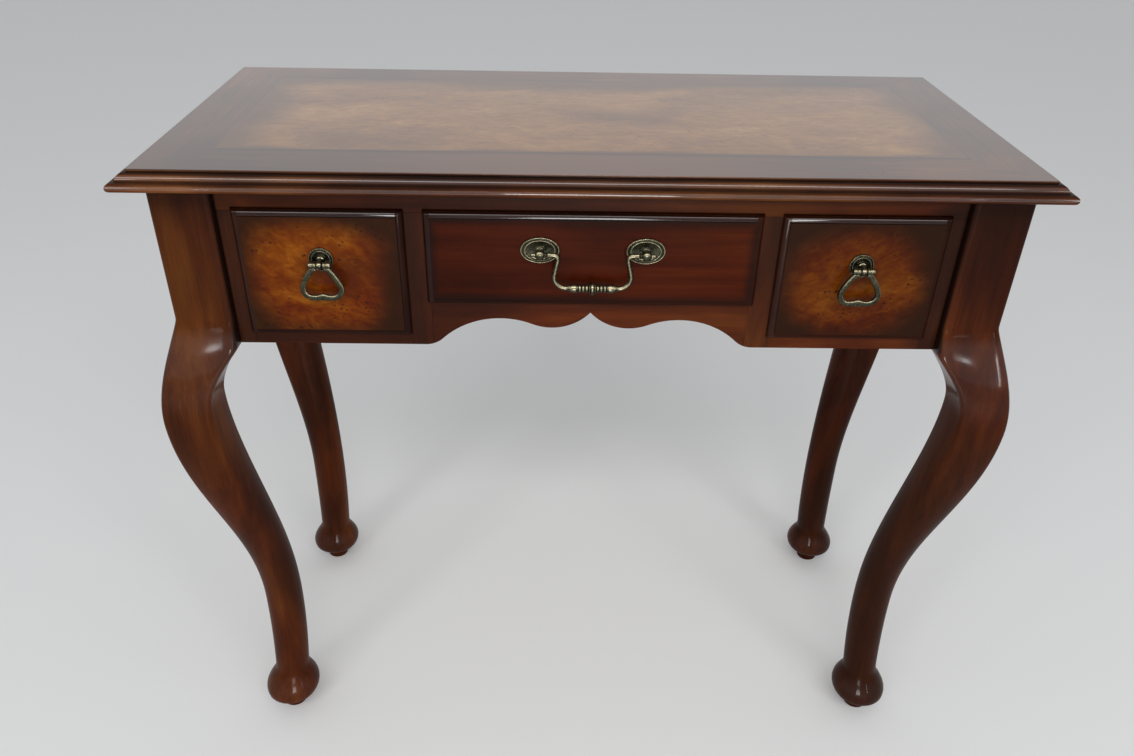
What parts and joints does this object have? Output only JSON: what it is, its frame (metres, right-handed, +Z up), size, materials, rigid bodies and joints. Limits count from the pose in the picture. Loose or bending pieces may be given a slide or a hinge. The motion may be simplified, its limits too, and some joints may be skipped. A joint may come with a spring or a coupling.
{
  "type": "lowboy",
  "caption": "Low dressing chest with a moulded veneered top, side and centre drawers, a scalloped apron and cabriole legs on pad feet.",
  "frame": {"origin": "on the floor, midway between the four legs", "axes": "+Z up, +X to the viewer's right, -Y out of the drawer fronts"},
  "size_m": [0.885, 0.4054, 0.762],
  "materials": {
    "red_mahogany": "satin lacquer, dark in the hollows",
    "drawer_front_wood": "satin lacquer",
    "dark_veneer": "polished lacquer",
    "top_burl": "polished burl, clouded darker at its edges",
    "drawer_burl": "polished burl, burnt dark at its edges",
    "inner_wood": "bare planed wood",
    "board": "bare plywood",
    "antique_brass": "dark patina, rubbed on the high spots",
    "screw_steel": "plain"
  },
  "bodies": {
    "case": {"apron": "red_mahogany", "back_panel": "inner_wood", "bottom_rail_left": "red_mahogany", "bottom_rail_right": "red_mahogany", "drawer_guides": "inner_wood", "drawer_runners": "inner_wood", "end_panel_left": "red_mahogany", "end_panel_right": "red_mahogany", "end_stile_left": "red_mahogany", "end_stile_right": "red_mahogany", "inner_stile_left": "red_mahogany", "inner_stile_right": "red_mahogany", "kickers": "inner_wood", "leg_front_left": "red_mahogany", "leg_front_right": "red_mahogany", "leg_rear_left": "red_mahogany", "leg_rear_right": "red_mahogany", "partition_left": "inner_wood", "partition_right": "inner_wood", "top_border_veneer": "dark_veneer", "top_burl_veneer": "top_burl", "top_cleats": "inner_wood", "top_core": "board", "top_edge_back": "red_mahogany", "top_edge_front": "red_mahogany", "top_edge_left": "red_mahogany", "top_edge_right": "red_mahogany", "top_rail": "red_mahogany", "top_screws": "screw_steel"},
    "left_drawer": {"drawer_left_back": "inner_wood", "drawer_left_bottom": "board", "drawer_left_front": "drawer_front_wood", "drawer_left_front_veneer": "drawer_burl", "drawer_left_side_left": "inner_wood", "drawer_left_side_right": "inner_wood", "drop_backplate_left": "antique_brass", "drop_post_left": "antique_brass", "drop_nut_left": "antique_brass"},
    "right_drawer": {"drawer_right_back": "inner_wood", "drawer_right_bottom": "board", "drawer_right_front": "drawer_front_wood", "drawer_right_front_veneer": "drawer_burl", "drawer_right_side_left": "inner_wood", "drawer_right_side_right": "inner_wood", "drop_backplate_right": "antique_brass", "drop_post_right": "antique_brass", "drop_nut_right": "antique_brass"},
    "centre_drawer": {"drawer_centre_back": "inner_wood", "drawer_centre_bottom": "board", "drawer_centre_front": "drawer_front_wood", "drawer_centre_side_left": "inner_wood", "drawer_centre_side_right": "inner_wood", "centre_backplates": "antique_brass", "centre_eye_posts": "antique_brass", "centre_nuts": "antique_brass"},
    "left_bail": {"drop_bail_left": "antique_brass"},
    "right_bail": {"drop_bail_right": "antique_brass"},
    "swan_neck_bail": {"centre_bail": "antique_brass"}
  },
  "joints": [
    {"name": "left_drawer_slide", "type": "slide", "parent": "case", "child": "left_drawer", "axis": [0, -1, 0], "range_m": [0, 0.24]},
    {"name": "right_drawer_slide", "type": "slide", "parent": "case", "child": "right_drawer", "axis": [0, -1, 0], "range_m": [0, 0.24]},
    {"name": "centre_drawer_slide", "type": "slide", "parent": "case", "child": "centre_drawer", "axis": [0, -1, 0], "range_m": [0, 0.24]},
    {"name": "left_bail_hinge", "type": "hinge", "parent": "left_drawer", "child": "left_bail", "pos_m": [-0.26075, -0.18395, 0.669], "axis": [-1, 0, 0], "range_deg": [-10, 150]},
    {"name": "right_bail_hinge", "type": "hinge", "parent": "right_drawer", "child": "right_bail", "pos_m": [0.26075, -0.18395, 0.669], "axis": [-1, 0, 0], "range_deg": [-10, 150]},
    {"name": "swan_neck_bail_hinge", "type": "hinge", "parent": "centre_drawer", "child": "swan_neck_bail", "pos_m": [0, -0.18595, 0.6834], "axis": [-1, 0, 0], "range_deg": [-8, 150]}
  ]
}
